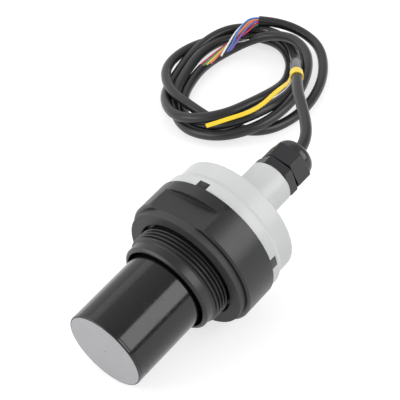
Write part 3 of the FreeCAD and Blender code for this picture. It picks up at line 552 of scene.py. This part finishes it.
drain = round_cord("screen_wire", metres(DRAIN_ROUTE), DRAIN_D, tinned_copper, sides=3)
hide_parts("drain_wire")
stray_shape = bmesh.new()
for route in STRAY_ROUTES:
    add_strap(stray_shape, middle_line(metres(route)), lambda share: STRAY_D, STRAY_D,
              lambda share: Vector((0, 0, 1)))
strays = shaped("screen_strays", closed_mesh("screen_strays", stray_shape, tinned_copper))

# Marker strap
# A strap of yellow vinyl is shrunk round the cable as a band, and its flat tail hangs down onto the
# coil. It is satin and lets a little light through, so its thin edges look paler.
yellow_vinyl = moulded("yellow_vinyl", ("#f7d022", "#fcda34"), 0.005, (0.28, 0.4), 0.0015, 0.00004,
                       edge=0.0002)
vinyl_inputs = yellow_vinyl.node_tree.nodes["shader"].inputs
vinyl_inputs["Subsurface Weight"].default_value = 0.25
vinyl_inputs["Subsurface Radius"].default_value = (0.002, 0.0014, 0.0004)
BAND_PLACE = Vector((-0.0545, 0.1495, 0.0573))
BAND_LENGTH = 0.011
BAND_FIT = 0.00005
BAND_WALL = 0.0007
BAND_SIDES = 40
TAIL_ROUTE = (
    (-57.5, 147.0, 57.0),
    (-60.0, 148.5, 51.5),
    (-67.6, 152.3, 44.0),
    (-74.5, 152.0, 37.0),
    (-81.5, 147.0, 28.0),
    (-88.3, 141.5, 22.5),
    (-97.5, 132.5, 19.0),
    (-105.4, 119.1, 17.5),
)
TAIL_WIDTH_ROOT = 0.0052
TAIL_WIDTH = 0.003
TAIL_TAPER = 4
TAIL_TWIST_SHARE = 0.25
TAIL_THICKNESS = 0.0007
FACE_ROOT = Vector((-0.75, -0.6, 0.3))
FACE_TAIL = Vector((0.1, -0.5, 0.85))


def tail_width(share):
    """The tail's width at a share of its length: it narrows fast from the band."""
    return TAIL_WIDTH + (TAIL_WIDTH_ROOT - TAIL_WIDTH) * (1 - share) ** TAIL_TAPER


def tail_face(share):
    """The way that the tail's flat side faces: it twists over its first quarter and then stays."""
    return FACE_ROOT.lerp(FACE_TAIL, min(share / TAIL_TWIST_SHARE, 1.0))


cable_line = middle_line(cable_points)
nearest = min(cable_line, key=lambda point: (point - BAND_PLACE).length)
band_line = [point for point in cable_line if (point - nearest).length < BAND_LENGTH / 2]
marker_shape = bmesh.new()
band_bore = CABLE_D / 2 + BAND_FIT
rings = []
for radius, order in ((band_bore + BAND_WALL, 1), (band_bore, -1)):
    for place in range(len(band_line))[::order]:
        forward = heading(band_line, place)
        across = forward.cross(Vector((0, 0, 1))).normalized()
        over = across.cross(forward)
        ring = []
        for side in range(BAND_SIDES):
            spoke = math.tau * side / BAND_SIDES
            out = across * math.cos(spoke) + over * math.sin(spoke)
            ring.append(marker_shape.verts.new(band_line[place] + out * radius))
        rings.append(ring)
for ring, following in zip(rings, rings[1:] + rings[:1]):
    for side in range(BAND_SIDES):
        after = (side + 1) % BAND_SIDES
        marker_shape.faces.new((ring[side], ring[after], following[after], following[side]))
add_strap(marker_shape, middle_line(metres(TAIL_ROUTE)), tail_width, TAIL_THICKNESS, tail_face)
marker = shaped("marker_strap", closed_mesh("marker_strap", marker_shape, yellow_vinyl))
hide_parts("cable_marker")

# Floor, lamps and camera
# The sensor lies on a pale table in a white room that is brighter on the camera's left, with one wide
# soft box on its right that draws the band along the barrel. The camera looks down over the tip.
TABLE_HALF = 6.0
TABLE_TOP = -0.0002
TABLE_WHITENESS = 0.68
pale_table = moulded("pale_table", ("#a8a8a8", "#aeaeae"), 0.2, (0.7, 0.8), 0.01, 0.00001)
tree = pale_table.node_tree
# The table is white in view and in gloss, but lights the sensor as a pale one does and keeps its shadow.
rays = add_node(tree, "ShaderNodeLightPath")
in_gloss = add_node(tree, "ShaderNodeMath", {
    0: rays.outputs["Is Camera Ray"], 1: rays.outputs["Is Glossy Ray"]}, operation="MAXIMUM")
in_view = add_node(tree, "ShaderNodeMath", {
    0: in_gloss.outputs["Value"], 1: rays.outputs["Is Transmission Ray"]}, operation="MAXIMUM")
seen = add_node(tree, "ShaderNodeMath", {
    0: in_view.outputs["Value"], 1: TABLE_WHITENESS}, operation="MULTIPLY")
tree.nodes["shader"].inputs["Emission Color"].default_value = (1, 1, 1, 1)
tree.links.new(seen.outputs["Value"], tree.nodes["shader"].inputs["Emission Strength"])
table_mesh = bpy.data.meshes.new("table")
corner_signs = ((-1, -1), (1, -1), (1, 1), (-1, 1))
table_corners = [(x * TABLE_HALF, y * TABLE_HALF, TABLE_TOP) for x, y in corner_signs]
table_mesh.from_pydata(table_corners, [], [(0, 1, 2, 3)])
table_mesh.materials.append(pale_table)
table = bpy.data.objects.new("table", table_mesh)
bpy.context.scene.collection.objects.link(table)

TARGET = Vector((-0.02, 0.06, 0.03))


def lamp(name, direction, distance, size, power):
    """A rectangular soft lamp that faces the sensor."""
    light = bpy.data.lights.new(name, "AREA")
    light.shape = "RECTANGLE"
    light.size, light.size_y = size
    light.energy = power
    holder = bpy.data.objects.new(name, light)
    towards = Vector(direction).normalized()
    holder.location = TARGET + towards * distance
    holder.rotation_mode = "QUATERNION"
    holder.rotation_quaternion = towards.to_track_quat("Z", "Y")
    bpy.context.scene.collection.objects.link(holder)


lamp("soft_box", (0.79, 0.355, 0.5), 1.2, (1.0, 0.88), 9.0)
lamp("fill", (-0.56, 0.36, 0.75), 1.3, (1.5, 0.5), 1.3)
lamp("front", (-0.5, -0.8, 0.4), 0.55, (0.5, 0.3), 1.15)

LEFT_WALL_WAY = (-0.75, -0.66, 0.07)
LEFT_WALL_LIGHT = 1.08
RIGHT_WALL_LIGHT = 0.37
world = bpy.data.worlds.new("studio")
bpy.context.scene.world = world
world.use_nodes = True
tree = world.node_tree
tree.nodes.clear()
looked = add_node(tree, "ShaderNodeTexCoord")
leftness = add_node(tree, "ShaderNodeVectorMath", {
    0: looked.outputs["Generated"], 1: LEFT_WALL_WAY}, operation="DOT_PRODUCT")
wall = add_node(tree, "ShaderNodeMapRange", {
    "Value": leftness.outputs["Value"], "From Min": -1.0, "From Max": 1.0,
    "To Min": RIGHT_WALL_LIGHT, "To Max": LEFT_WALL_LIGHT})
around = add_node(tree, "ShaderNodeBackground", {
    "Color": (1, 1, 1, 1), "Strength": wall.outputs["Result"]})
add_node(tree, "ShaderNodeOutputWorld", {"Surface": around.outputs["Background"]})

camera_data = bpy.data.cameras.new("camera")
camera_data.lens = 137.6
camera_data.sensor_width = 36
camera = bpy.data.objects.new("camera", camera_data)
bpy.context.scene.collection.objects.link(camera)
right = Vector((0.7464, 0.6623, -0.0659))
top = Vector((-0.3460, 0.4705, 0.8117))
back = Vector((0.5686, -0.5831, 0.5804))
stand = Matrix.Translation((0.4593, -0.4709, 0.5424))
camera.matrix_world = stand @ Matrix((right, top, back)).transposed().to_4x4()
bpy.context.scene.camera = camera
bpy.context.scene.view_settings.view_transform = "Standard"
